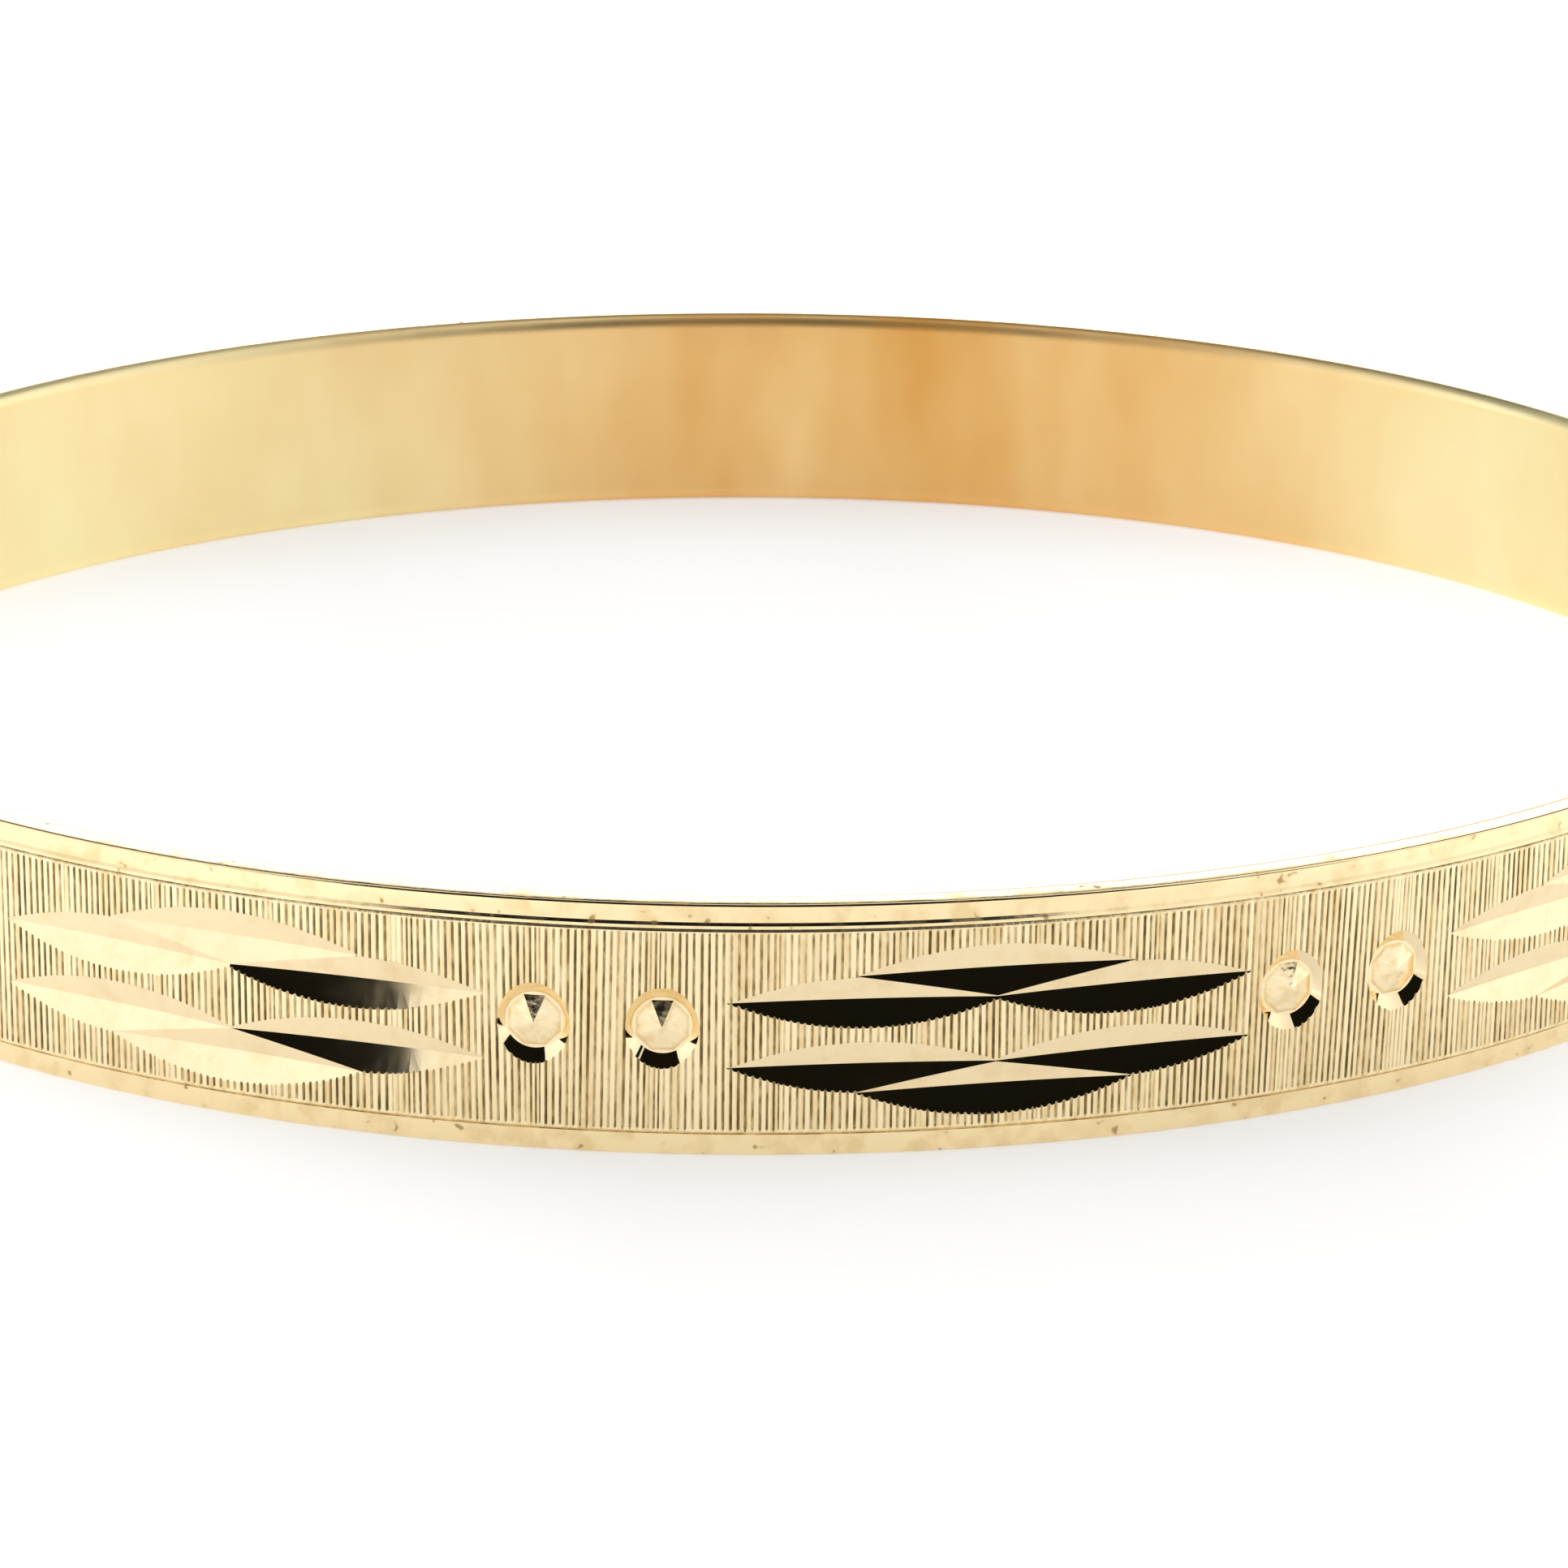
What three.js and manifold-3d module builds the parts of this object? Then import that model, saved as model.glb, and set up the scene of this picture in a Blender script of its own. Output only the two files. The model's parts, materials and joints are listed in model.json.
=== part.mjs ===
// A hinged bangle bracelet: a slim, slightly oval band in two halves, with ten bright-cut motifs round it.
// Units are millimetres. The band stands on its lower edge, with +Z up and the origin at the centre of the oval.
// The front half lies on the -Y side, the hinge is at +X and the clasp is at -X.
import * as THREE from 'three';
import { mergeVertices } from 'three/addons/utils/BufferGeometryUtils.js';
import Module from 'manifold-3d';

const wasm = await Module();
wasm.setup();

// Band
const outsideLength = 61.4;      // across hinge and clasp, over the border strips
const outsideDepth = 56.5;       // front to back, over the border strips
const bandHeight = 6.35;
const wall = 0.88;               // at the border strips
const borderHeight = 0.53;       // plain strip along each edge
const fieldRise = 0.12;          // the engraved field stands this far out from the strips
const edgeBevel = 0.08;
const edgeFlat = 0.45;           // flat part of the upper and lower edges
const comfortHeight = 0.45;      // height over which the inside edges are rounded
const bandSegments = 120;

// Engraving
const motifCount = 10;
const motifGap = 6.0;            // plain stretch between the cuts of two motifs
const tipRun = 0.2;              // fine run-out past each tip of a long cut
const middleCutLength = 6.85;
const cutWallAngle = 21.4;       // slope of each wall of a cut, in degrees
const wheelRadius = 60;          // of the wheel that makes the cuts
const sideRowOffset = 0.82;      // from the middle of the band to the two rows of long cuts
const middleRowOffset = 1.48;    // and to the short cut above and below them
const cutDrop = 0.08;            // the cuts sit this much below the middle of the band
const cutSteps = 8;
const cutClearance = 3;          // height of the cutting rim over the depth of the cut
const cutReach = 1.1;            // and its length over the length of the cut
const dotOffset = 1.52;          // from the middle of the pair to each dot
const dotLag = 0.2;              // the pair sits this far before the middle of its gap
const dotRise = 0.08;
const ringAlong = 0.89;          // half size of the groove round a dot, along the band
const ringAcross = 1.03;         // and across it
const ringFloor = 0.71;
const ringDepth = 0.22;
const ringFacets = 16;
const beadRadius = 0.68;         // of the pointed bead left standing in it
const beadCrown = 0.03;          // its point is this far below the field
const beadRoot = 0.02;           // its cone runs on this far under the floor of the groove
const beadFacets = 8;

// Fits
const solderGap = 0.02;          // between pieces that are soldered or riveted together
const mouthGap = 0.1;            // between the closed ends of the two halves
const pinFit = 0.04;             // running clearance round the pin in the front knuckle
const knuckleGap = 0.06;         // between knuckles, along the pin
const barrelGap = 0.08;          // from the knuckles to the ends of the other half
const tongueFit = 0.12;          // round the tongue in its box
const springFit = 0.06;          // from the closed spring to the outer wall of the box

// Hinge
const barrelRadius = 1.1;
const barrelInset = 1.0;         // pin axis, in from the border strips
const barrelSetback = 0.34;      // knuckles end this far inside the edges of the band
const middleKnuckle = 2.0;       // height of the front knuckle
const pinRadius = 0.5;
const pinHeadRadius = 0.8;
const pinHeadHeight = 0.22;
const pinCrown = 0.48;           // radius of the flat on top of a pin head
const lugLength = 2.6;           // tab of a knuckle, from the pin axis into its block
const lugThickness = 0.8;
const blockSetback = 0.6;        // end blocks keep this far inside the edges of the band
const blockSkin = 0.1;           // of a block, left between the band and a slot or hollow
const hingeBlockLength = 4.4;
const hingeBlockDepth = 1.5;     // in from the inside of the band
const barrelFlare = 0.85;        // half width of the opening outside the knuckles, over their room
const barrelSegments = 36;

// Clasp
const tongueLength = 3.6;        // beyond the end of the rear half
const tongueRoot = 2.6;          // held in the tongue block
const tongueHeight = 3.0;
const tongueThickness = 0.28;
const springThickness = 0.24;
const springHeight = 2.7;
const springOpening = 0.34;      // between the two leaves at the mouth of the box
const foldInset = 0.15;          // pivot of the spring, back from the tip of the tongue
const boxWall = 0.36;
const tongueBlockLength = 4.6;
const thumbLength = 0.95;
const thumbHeight = 2.3;
const thumbStart = 0.2;          // from the mouth to the thumb piece
const thumbProud = 0.5;          // beyond the border strips
const thumbCapHeight = 0.42;
const thumbCapOverhang = 0.12;
const thumbCapCrown = 0.17;      // drop from the top of the cap to its ends
const thumbRoom = 0.42;          // behind the thumb piece, for its swing

const halfLength = outsideLength / 2;
const halfDepth = outsideDepth / 2;
const middle = bandHeight / 2;
const far = 100;                 // larger than the bangle, for cutting blocks

const oval = new THREE.EllipseCurve(0, 0, halfLength, halfDepth, -Math.PI / 2, 1.5 * Math.PI);
oval.arcLengthDivisions = 1440;
const pitch = oval.getLength() / motifCount;

// Place on the oval at a share of its length, counted from the middle of the front towards the hinge.
function spotAt(share) {
  const point = oval.getPointAt(share - Math.floor(share));
  const slopeX = point.x / halfLength ** 2;
  const slopeY = point.y / halfDepth ** 2;
  const slope = Math.hypot(slopeX, slopeY);
  const outward = new THREE.Vector2(slopeX / slope, slopeY / slope);
  const along = new THREE.Vector2(-outward.y, outward.x);
  const radius = (halfLength * halfDepth) ** 2 * slope ** 3;
  return { point, outward, along, radius };
}

// How far the oval has curved in from its end at the hinge or clasp, this far along Y.
function endDrop(y) {
  return halfLength * (1 - Math.sqrt(1 - (y / halfDepth) ** 2));
}

function solidFrom(geometry) {
  const bare = geometry.clone();
  bare.deleteAttribute('normal');
  bare.deleteAttribute('uv');
  const merged = mergeVertices(bare, 1e-5);
  const corners = merged.index.array;
  const kept = [];
  for (let i = 0; i < corners.length; i += 3) {
    const [a, b, c] = corners.slice(i, i + 3);
    if (a !== b && b !== c && c !== a) {
      kept.push(a, b, c);
    }
  }
  const vertProperties = new Float32Array(merged.attributes.position.array);
  return new wasm.Manifold(new wasm.Mesh({ numProp: 3, vertProperties, triVerts: new Uint32Array(kept) }));
}

function box(x0, x1, y0, y1, z0, z1) {
  const geometry = new THREE.BoxGeometry(x1 - x0, y1 - y0, z1 - z0);
  geometry.translate((x0 + x1) / 2, (y0 + y1) / 2, (z0 + z1) / 2);
  return solidFrom(geometry);
}

// A turned solid standing on Z, from points of radius and height.
function turned(points, segments, x, y) {
  const profile = points.map(([radius, height]) => new THREE.Vector2(radius, height));
  const geometry = new THREE.LatheGeometry(profile, segments);
  geometry.rotateX(Math.PI / 2);
  geometry.translate(x, y, 0);
  return solidFrom(geometry);
}

function rod(radius, z0, z1, x, y, segments = barrelSegments) {
  return turned([[0, z0], [radius, z0], [radius, z1], [0, z1]], segments, x, y);
}

// An upright prism from points of X and Y.
function prism(points, z0, z1) {
  const shape = new THREE.Shape(points.map(([x, y]) => new THREE.Vector2(x, y)));
  const geometry = new THREE.ExtrudeGeometry(shape, { depth: z1 - z0, bevelEnabled: false });
  geometry.translate(0, 0, z0);
  return solidFrom(geometry);
}

// A closed section of offset and height, swept all the way round the oval.
function ovalRing(section) {
  const mean = halfLength;
  const profile = [...section, section[0]].map(([offset, z]) => new THREE.Vector2(mean + offset, z));
  const geometry = new THREE.LatheGeometry(profile, bandSegments);
  const position = geometry.attributes.position;
  for (let i = 0; i < position.count; i += 1) {
    const turn = Math.atan2(position.getX(i), position.getZ(i)) / (2 * Math.PI);
    const offset = Math.hypot(position.getX(i), position.getZ(i)) - mean;
    const { point, outward } = spotAt(turn);
    position.setXYZ(i, point.x + outward.x * offset, point.y + outward.y * offset, position.getY(i));
  }
  return solidFrom(geometry);
}

// Moves a cutter, made with X across the band, Y outward and Z along it, to its place on the band's field.
function laidOn(geometry, spot, z) {
  const position = geometry.attributes.position;
  for (let i = 0; i < position.count; i += 1) {
    const out = position.getY(i) + fieldRise;
    const along = position.getZ(i);
    const x = spot.point.x + spot.outward.x * out + spot.along.x * along;
    const y = spot.point.y + spot.outward.y * out + spot.along.y * along;
    position.setXYZ(i, x, y, z + position.getX(i));
  }
  return solidFrom(geometry);
}

// One cut of a large wheel with a V rim. It is deepest in the middle and runs out at both tips.
function wheelCut(length, share, z) {
  const spot = spotAt(share);
  const depth = (length / 2) ** 2 / 2 * (1 / spot.radius + 1 / wheelRadius);
  const rimHeight = cutClearance * depth;
  const rimHalf = rimHeight / Math.tan(THREE.MathUtils.degToRad(cutWallAngle));
  const rim = new THREE.Shape();
  rim.moveTo(0, 0);
  rim.lineTo(rimHalf, rimHeight);
  rim.lineTo(-rimHalf, rimHeight);
  const reach = cutReach * length;
  const geometry = new THREE.ExtrudeGeometry(rim, { depth: reach, steps: cutSteps, bevelEnabled: false });
  geometry.translate(0, -depth, -reach / 2);
  const position = geometry.attributes.position;
  for (let i = 0; i < position.count; i += 1) {
    position.setY(i, position.getY(i) + position.getZ(i) ** 2 / (2 * wheelRadius));
  }
  return laidOn(geometry, spot, z);
}

// A cupped cutter: it leaves a low pointed bead standing in a ring groove, both with small facets.
function dotCut(share, z) {
  const spot = spotAt(share);
  const clear = ringDepth;
  const flare = (ringDepth + clear) / ringDepth;
  const plug = new THREE.CylinderGeometry(1, ringFloor, ringDepth + clear, ringFacets);
  plug.translate(0, (clear - ringDepth) / 2, 0);
  const position = plug.attributes.position;
  for (let i = 0; i < position.count; i += 1) {
    if (position.getY(i) > 0) {
      position.setX(i, position.getX(i) * (ringFloor + (ringAcross - ringFloor) * flare));
      position.setZ(i, position.getZ(i) * (ringFloor + (ringAlong - ringFloor) * flare));
    }
  }
  const height = ringDepth + beadRoot - beadCrown;
  const foot = beadRadius * height / (ringDepth - beadCrown);
  const bead = new THREE.ConeGeometry(foot, height, beadFacets);
  bead.rotateY(Math.PI / beadFacets);
  bead.translate(0, height / 2 - ringDepth - beadRoot, 0);
  return laidOn(plug, spot, z).subtract(laidOn(bead, spot, z));
}

// All the cuts of one motif: four long ones that meet at its centre, and one short one above and below.
function motifCuts(centre) {
  const longCut = (pitch - motifGap) / 2;
  const turn = longCut / 2 / (pitch * motifCount);
  const level = middle - cutDrop;
  const cuts = [];
  for (const row of [-1, 1]) {
    for (const side of [-1, 1]) {
      cuts.push(wheelCut(longCut + 2 * tipRun, centre + side * turn, level + row * sideRowOffset));
    }
    cuts.push(wheelCut(middleCutLength, centre, level + row * middleRowOffset));
  }
  return cuts;
}

// The pair of dots in a gap. The gaps at the hinge and at the clasp have none.
function gapDots(centre) {
  const atJoint = Math.abs(Math.cos(2 * Math.PI * centre)) < 1e-6;
  if (atJoint) {
    return [];
  }
  const turn = (side) => (side * dotOffset - dotLag) / (pitch * motifCount);
  return [-1, 1].map((side) => dotCut(centre + turn(side), middle + dotRise));
}

function bandSection() {
  const section = [
    [-edgeBevel, 0],
    [0, edgeBevel],
    [0, borderHeight],
    [fieldRise, borderHeight + fieldRise],
    [fieldRise, bandHeight - borderHeight - fieldRise],
    [0, bandHeight - borderHeight],
    [0, bandHeight - edgeBevel],
    [-edgeBevel, bandHeight],
  ];
  const round = wall - edgeBevel - edgeFlat;
  const inside = [];
  for (const degrees of [0, 30, 60, 90]) {
    const angle = THREE.MathUtils.degToRad(degrees);
    inside.push([-wall + round * (1 - Math.sin(angle)), comfortHeight * (1 - Math.cos(angle))]);
  }
  inside.forEach(([offset, z]) => section.push([offset, bandHeight - z]));
  inside.reverse().forEach(([offset, z]) => section.push([offset, z]));
  return section;
}

// The two sides of the joint plane, leaving the gap between the closed ends.
const frontSide = box(-far, far, -far, -mouthGap / 2, -far, far);
const rearSide = box(-far, far, mouthGap / 2, far, -far, far);

// Hinge
const hingeX = halfLength - barrelInset;
const barrelBottom = barrelSetback;
const barrelTop = bandHeight - barrelSetback;
const middleBottom = middle - middleKnuckle / 2;
const middleTop = middle + middleKnuckle / 2;

// Room for the knuckles at the ends of both halves, open towards the outside.
function hingeRoom() {
  const reach = barrelRadius + barrelGap;
  const round = rod(reach, -1, bandHeight + 1, hingeX, 0, 2 * barrelSegments);
  const half = barrelFlare * reach;
  const open = box(hingeX, hingeX + far, -half, half, -1, bandHeight + 1);
  return round.add(open);
}

function lug(side, z0, z1, grow) {
  const y0 = side < 0 ? -lugLength - grow : 0;
  const y1 = side < 0 ? 0 : lugLength + grow;
  const outer = halfLength - wall - solderGap - blockSkin - endDrop(lugLength);
  return box(outer - lugThickness - grow, outer + grow, y0, y1, z0 - grow, z1 + grow);
}

function knuckle(side, z0, z1, boreRadius) {
  const tube = rod(barrelRadius, z0, z1, hingeX, 0);
  const bore = rod(boreRadius, z0 - 1, z1 + 1, hingeX, 0);
  return tube.add(lug(side, z0, z1, 0)).subtract(bore);
}

function hingePin() {
  const bottom = barrelBottom - pinHeadHeight;
  const top = barrelTop + pinHeadHeight;
  return turned([
    [0, bottom],
    [pinCrown, bottom],
    [pinHeadRadius, bottom + pinHeadHeight / 2],
    [pinHeadRadius, barrelBottom - solderGap],
    [pinRadius, barrelBottom - solderGap],
    [pinRadius, barrelTop + solderGap],
    [pinHeadRadius, barrelTop + solderGap],
    [pinHeadRadius, top - pinHeadHeight / 2],
    [pinCrown, top],
    [0, top],
  ], barrelSegments, hingeX, 0);
}

// A block that thickens the wall from the inside, at one end of a half band.
function endBlock(depth, length, sideX, side) {
  const z0 = blockSetback;
  const z1 = bandHeight - blockSetback;
  const outer = -wall - solderGap;
  const inner = -wall - depth;
  const liner = ovalRing([[inner, z0], [outer, z0], [outer, z1], [inner, z1]]);
  const near = mouthGap / 2;
  const y0 = side < 0 ? -length : near;
  const y1 = side < 0 ? -near : length;
  const x0 = sideX < 0 ? -far : 0;
  const x1 = sideX < 0 ? 0 : far;
  return liner.intersect(box(x0, x1, y0, y1, -far, far));
}

function hingeBlock(side, slots) {
  const block = endBlock(hingeBlockDepth, hingeBlockLength, 1, side).subtract(hingeRoom());
  return slots.reduce((solid, [z0, z1]) => solid.subtract(lug(side, z0, z1, solderGap)), block);
}

// Clasp. Distances in from the border strips at the clasp end, where X is -halfLength.
const boxHollowLength = tongueLength + tongueFit;
const hollowOuter = wall + solderGap + blockSkin + endDrop(boxHollowLength);
const springOuter = hollowOuter + springFit;
const tongueOuter = springOuter + springThickness + springOpening;
const tongueInner = tongueOuter + tongueThickness;
const hollowInner = tongueInner + tongueFit;
const claspDepth = hollowInner + boxWall - wall;
const foldY = -tongueLength + foldInset;
const springRun = -mouthGap / 2 - foldY;
const springSlope = (springOpening - solderGap) / springRun;

function inward(distance) {
  return -halfLength + distance;
}

function claspBox() {
  const block = endBlock(claspDepth, boxHollowLength + boxWall, -1, -1);
  const half = tongueHeight / 2 + tongueFit;
  const hollow = box(inward(hollowOuter), inward(hollowInner), -boxHollowLength, 1, middle - half, middle + half);
  return block.subtract(hollow);
}

// Notch at the end of the rear half, for the thumb piece and the free end of the spring.
function thumbNotch() {
  const end = thumbStart + thumbLength + thumbCapOverhang + thumbRoom;
  const half = springHeight / 2 + tongueFit;
  return box(-far, inward(tongueOuter - solderGap), -1, end, middle - half, middle + half);
}

function tongueSolid(grow) {
  const half = tongueHeight / 2 + grow;
  const x0 = inward(tongueOuter - grow);
  const x1 = inward(tongueInner + grow);
  return box(x0, x1, -tongueLength, tongueRoot + grow, middle - half, middle + half);
}

function tongueBlock() {
  const block = endBlock(claspDepth, tongueBlockLength, -1, 1);
  return block.subtract(tongueSolid(solderGap)).subtract(thumbNotch());
}

// Inner face of the relaxed spring leaf, this far along Y.
function springFace(y) {
  return tongueOuter - solderGap - (y - foldY) * springSlope;
}

function springLeaf() {
  const tip = foldY - foldInset / 2;
  const end = thumbStart + thumbLength;
  const points = [
    [inward(springFace(tip)), tip],
    [inward(springFace(end)), end],
    [inward(springFace(end) - springThickness), end],
    [inward(springFace(foldY) - springThickness), foldY],
    [inward(springFace(tip) - springThickness / 2), tip],
  ];
  return prism(points, middle - springHeight / 2, middle + springHeight / 2);
}

function thumbPiece() {
  const y0 = thumbStart;
  const y1 = thumbStart + thumbLength;
  const foot = (y) => inward(springFace(y) - springThickness - solderGap);
  const neck = inward(-thumbProud + thumbCapHeight);
  const half = thumbHeight / 2;
  const stem = prism([[foot(y0), y0], [foot(y1), y1], [neck, y1], [neck, y0]], middle - half, middle + half);
  const rim = thumbCapOverhang;
  const outer = inward(-thumbProud);
  const cap = prism([
    [neck, y0 - rim / 2],
    [neck, y1 + rim],
    [outer + thumbCapCrown, y1 + rim],
    [outer, y1 - rim],
    [outer, y0 + rim],
    [outer + thumbCapCrown, y0 - rim / 2],
  ], middle - half - rim / 2, middle + half + rim / 2);
  return stem.add(cap);
}

function goldAlloy(color, roughness) {
  return new THREE.MeshStandardMaterial({ color, roughness, metalness: 1 });
}

const bangle = new THREE.Group();
const front = new THREE.Group();
const rear = new THREE.Group();
bangle.add(front, rear);

function addPiece(group, name, solid, material) {
  const { vertProperties, triVerts } = solid.getMesh();
  const geometry = new THREE.BufferGeometry();
  geometry.setAttribute('position', new THREE.BufferAttribute(vertProperties, 3));
  geometry.setIndex(new THREE.BufferAttribute(triVerts, 1));
  geometry.computeVertexNormals();
  const mesh = new THREE.Mesh(geometry, material);
  mesh.name = name;
  group.add(mesh);
}

const cutGold = goldAlloy(0xe9c98c, 0.22);
const plainGold = goldAlloy(0xe3bf7d, 0.3);
const springGold = goldAlloy(0xd9b26a, 0.28);

const blank = ovalRing(bandSection()).subtract(hingeRoom());
let frontBand = blank.intersect(frontSide);
let rearBand = blank.intersect(rearSide).subtract(thumbNotch());
for (let i = 0; i < motifCount; i += 1) {
  const centre = i / motifCount;
  const gap = (i + 0.5) / motifCount;
  for (const cut of [...motifCuts(centre), ...gapDots(gap)]) {
    frontBand = frontBand.subtract(cut);
    rearBand = rearBand.subtract(cut);
  }
}

const frontSlots = [[middleBottom, middleTop]];
const rearSlots = [[barrelBottom, middleBottom - knuckleGap], [middleTop + knuckleGap, barrelTop]];

addPiece(front, 'front_band', frontBand, cutGold);
addPiece(front, 'front_hinge_block', hingeBlock(-1, frontSlots), plainGold);
addPiece(front, 'middle_knuckle', knuckle(-1, ...frontSlots[0], pinRadius + pinFit), plainGold);
addPiece(front, 'clasp_box', claspBox(), plainGold);
addPiece(rear, 'rear_band', rearBand, cutGold);
addPiece(rear, 'rear_hinge_block', hingeBlock(1, rearSlots), plainGold);
addPiece(rear, 'lower_knuckle', knuckle(1, ...rearSlots[0], pinRadius + solderGap), plainGold);
addPiece(rear, 'upper_knuckle', knuckle(1, ...rearSlots[1], pinRadius + solderGap), plainGold);
addPiece(rear, 'hinge_pin', hingePin(), plainGold);
addPiece(rear, 'tongue_block', tongueBlock(), plainGold);
addPiece(rear, 'tongue_leaf', tongueSolid(0), springGold);
addPiece(rear, 'spring_leaf', springLeaf(), springGold);
addPiece(rear, 'thumb_piece', thumbPiece(), plainGold);

export default bangle;
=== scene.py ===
# A hinged gold bangle on a pale table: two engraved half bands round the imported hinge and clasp.
import json
import math

import bmesh
import bpy
import numpy as np
from mathutils import Matrix, Vector


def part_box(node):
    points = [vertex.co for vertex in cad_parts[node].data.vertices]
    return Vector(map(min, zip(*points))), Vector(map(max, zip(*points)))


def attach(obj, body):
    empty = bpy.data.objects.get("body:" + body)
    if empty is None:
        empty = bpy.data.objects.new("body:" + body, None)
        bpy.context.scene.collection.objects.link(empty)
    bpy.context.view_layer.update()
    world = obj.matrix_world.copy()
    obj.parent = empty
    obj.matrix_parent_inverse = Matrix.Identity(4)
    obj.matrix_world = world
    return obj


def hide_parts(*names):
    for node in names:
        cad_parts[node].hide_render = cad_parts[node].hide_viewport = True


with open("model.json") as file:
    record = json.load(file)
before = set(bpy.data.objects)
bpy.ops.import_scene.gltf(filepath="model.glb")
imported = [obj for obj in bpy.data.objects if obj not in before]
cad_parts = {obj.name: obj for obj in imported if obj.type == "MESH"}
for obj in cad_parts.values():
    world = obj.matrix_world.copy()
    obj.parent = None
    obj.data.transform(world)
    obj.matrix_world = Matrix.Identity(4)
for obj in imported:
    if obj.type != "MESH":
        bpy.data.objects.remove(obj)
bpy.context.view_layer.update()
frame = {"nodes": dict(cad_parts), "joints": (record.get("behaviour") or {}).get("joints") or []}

mm = 0.001
bandLow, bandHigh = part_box("front_band")
hingeX = next(joint["pos_m"][0] for joint in frame["joints"] if joint["name"] == "side_hinge")


class Lead:  # one socket, so that sums on it read as sums
    def __init__(self, tree, socket=None):
        self.tree = tree
        self.socket = socket

    def node(self, kind, settings=None, inputs=None, out=0):
        made = self.tree.nodes.new(kind)
        for key, value in (settings or {}).items():
            setattr(made, key, value)
        for key, value in (inputs or {}).items():
            if isinstance(value, Lead):
                self.tree.links.new(value.socket, made.inputs[key])
            else:
                made.inputs[key].default_value = value
        return Lead(self.tree, made.outputs[out]) if made.outputs else None

    def maths(self, operation, first, second):
        return self.node("ShaderNodeMath", {"operation": operation}, {0: first, 1: second})

    def __add__(self, other):
        return self.maths("ADD", self, other)

    def __sub__(self, other):
        return self.maths("SUBTRACT", self, other)

    def __rsub__(self, other):
        return self.maths("SUBTRACT", other, self)

    def __mul__(self, other):
        return self.maths("MULTIPLY", self, other)

    __radd__ = __add__
    __rmul__ = __mul__

    def between(self, low, high):  # 0 at low, 1 at high
        settings = {"clamp": True}
        return self.node("ShaderNodeMapRange", settings, {"Value": self, "From Min": low, "From Max": high})

    def tint(self, first, second):  # from the first colour to the second as this goes from 0 to 1
        settings = {"data_type": "RGBA"}
        return self.node("ShaderNodeMix", settings, {"Factor": self, 6: first, 7: second}, out=2)


def newFinish(name, paint):
    made = bpy.data.materials.new(name)
    made.use_nodes = True
    tree = made.node_tree
    tree.nodes.clear()
    start = Lead(tree)
    shader = start.node("ShaderNodeBsdfPrincipled", inputs={"Metallic": 1.0, **paint(start)})
    start.node("ShaderNodeOutputMaterial", inputs={"Surface": shader})
    return made


gold = {
    "body": (0.97, 0.785, 0.46, 1),
    "pale": (0.98, 0.82, 0.51, 1),
    "bright": (0.97, 0.80, 0.51, 1),
    "deep": (0.80, 0.59, 0.29, 1),
    "inside": (1.0, 0.85, 0.48, 1),
    # colour of the painted sheen on the inside
    "cream": (1.0, 0.89, 0.505, 1),
    # colour of the painted reflection on the inside
    "amber": (0.84, 0.46, 0.13, 1),
    "speck": (0.36, 0.25, 0.10, 1),
    "valley": (0.33, 0.235, 0.10, 1),
    "pit": (0.06, 0.042, 0.012, 1),
    "spring": (0.90, 0.70, 0.36, 1),
}


def placeOf(start):
    return start.node("ShaderNodeTexCoord", out=3)  # object space, which is the frame's own


def softBlotch(start, scale, detail=3.0, stretch=1.0):
    place = placeOf(start)
    if stretch != 1.0:
        place = start.node("ShaderNodeMapping", inputs={"Vector": place, "Scale": (1, 1, stretch)})
    inputs = {"Vector": place, "Scale": scale, "Detail": detail, "Roughness": 0.55}
    return start.node("ShaderNodeTexNoise", inputs=inputs)


def raised(start, height, strength, distance):
    return start.node("ShaderNodeBump", inputs={"Strength": strength, "Distance": distance, "Height": height})


def polishedPaint(start):
    mottle = softBlotch(start, 1500, 4).between(0.46, 0.62) * softBlotch(start, 350).between(0.25, 0.6)
    specks = softBlotch(start, 3000, 1).between(0.70, 0.76)
    return {
        "Base Color": (specks * 0.8).tint((mottle * 0.7).tint(gold["body"], gold["deep"]), gold["speck"]),
        "Roughness": mottle * 0.14 + 0.11 + specks * 0.2,
        "Normal": raised(start, softBlotch(start, 1400, 4, 3), 0.18, 0.02 * mm),
    }


inside = {
    "warmest": 9.5 * mm,   # centre of the painted amber reflection across the bangle, where the halves shine into each other
    "warmHalf": 18.5 * mm,
}


def insidePaint(start):
    across = start.node("ShaderNodeSeparateXYZ", inputs={0: placeOf(start)}, out=0)
    away = (across - inside["warmest"]) * (1 / inside["warmHalf"])
    reflectionMask = (1 - away * away).between(0, 1)
    streaks = softBlotch(start, 260, 2, 0.25).between(0.32, 0.7)
    haze = softBlotch(start, 110, 4, 0.6).between(0.3, 0.7)
    cloud = softBlotch(start, 190, 3, 0.75).between(0.42, 0.6)
    # painted reflection: amber where the halves shine into each other, broken up by random haze and streaks
    amber = (reflectionMask * 0.85 + haze * 0.42 - 0.17) * (streaks * 0.35 + 0.72)
    # painted sheen: paler cream patches in cloud shapes, fewer where the painted reflection lies
    paintedSheen = (1 - cloud) * (1 - reflectionMask * 0.75)
    return {
        "Base Color": amber.between(0, 1).tint(paintedSheen.tint(gold["inside"], gold["cream"]), gold["amber"]),
        "Roughness": haze * 0.12 + streaks * 0.08 + 0.36,
        "Normal": raised(start, softBlotch(start, 300, 2, 0.12), 0.5, 0.12 * mm),
    }


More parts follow.
